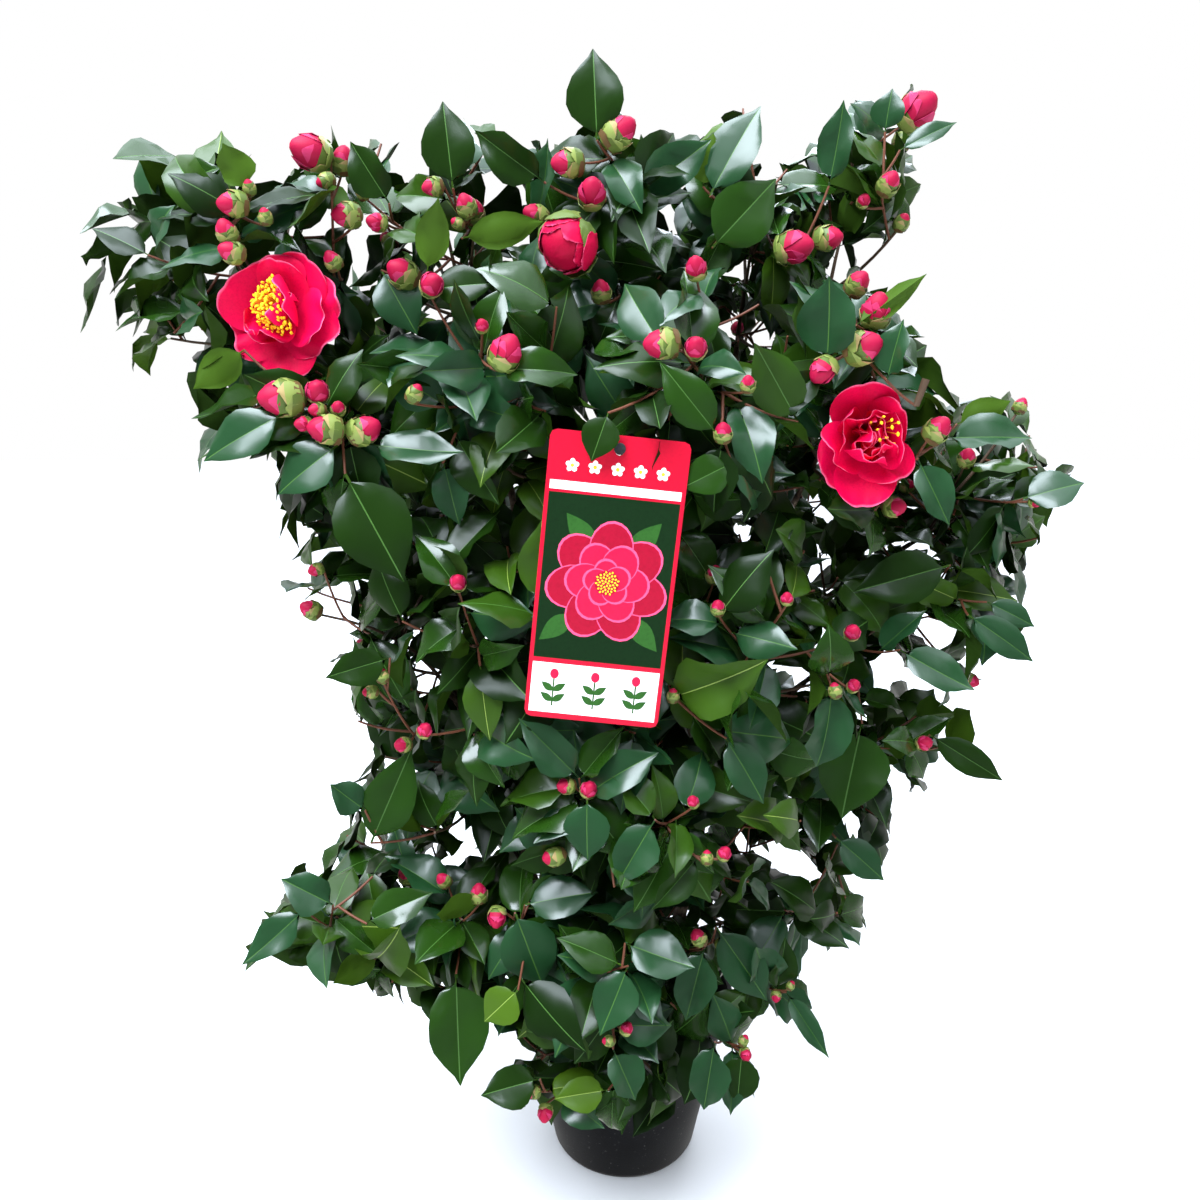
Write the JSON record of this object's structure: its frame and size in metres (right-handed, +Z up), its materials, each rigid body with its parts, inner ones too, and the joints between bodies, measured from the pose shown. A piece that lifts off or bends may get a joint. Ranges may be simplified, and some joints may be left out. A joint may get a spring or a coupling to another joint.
{
  "type": "camellia shrub in a nursery pot",
  "caption": "Bushy evergreen flowering shrub on upright stems, with glossy oval leaves, buds and crimson blooms, standing in a round tapered nursery pot with a care label.",
  "frame": {"origin": "centre of the pot's flat underside, on the ground", "axes": "+Z up along the pot's axis, -Y towards the viewer and the label's face, +X to the viewer's right"},
  "size_m": [0.8308, 0.5186, 1.05],
  "materials": {
    "bark": "fine matt grey-brown bark",
    "foliage": "glossy dark green leaves",
    "pot": "dusty matt charcoal plastic",
    "compost": "moist crumbly bark compost",
    "label_card": "gloss-laminated printed card",
    "tie": "thin moulded nylon"
  },
  "bodies": {
    "root": {"bough_back_low": "bark", "bough_back_mid_left": "bark", "bough_back_mid_right": "bark", "bough_front_left": "bark", "bough_front_low": "bark", "bough_front_right": "bark", "bough_front_upper_left": "bark", "bough_front_upper_right": "bark", "bough_left_low": "bark", "bough_left_mid": "bark", "bough_left_upper": "bark", "bough_low_back": "bark", "bough_low_front": "bark", "bough_low_left": "bark", "bough_low_right": "bark", "bough_right_far": "bark", "bough_right_low": "bark", "bough_right_mid": "bark", "bough_right_upper": "bark", "bough_skirt": "bark", "bough_top_centre": "bark", "label": "label_card", "label_tie": "tie", "mass_back_low": "foliage", "mass_back_mid_left": "foliage", "mass_back_mid_right": "foliage", "mass_front_left": "foliage", "mass_front_low": "foliage", "mass_front_right": "foliage", "mass_front_upper_left": "foliage", "mass_front_upper_right": "foliage", "mass_left_low": "foliage", "mass_left_mid": "foliage", "mass_left_upper": "foliage", "mass_low_back": "foliage", "mass_low_front": "foliage", "mass_low_left": "foliage", "mass_low_right": "foliage", "mass_right_far": "foliage", "mass_right_low": "foliage", "mass_right_mid": "foliage", "mass_right_upper": "foliage", "mass_skirt": "foliage", "mass_top_back_left": "foliage", "mass_top_back_right": "foliage", "mass_top_centre": "foliage", "mass_top_centre_left": "foliage", "mass_top_centre_right": "foliage", "mass_top_left": "foliage", "mass_top_right": "foliage", "pot": "pot", "soil": "compost", "stem_back_left": "bark", "stem_back_right": "bark", "stem_front_left": "bark", "stem_front_right": "bark", "stem_left": "bark", "stem_right": "bark"}
  },
  "joints": []
}
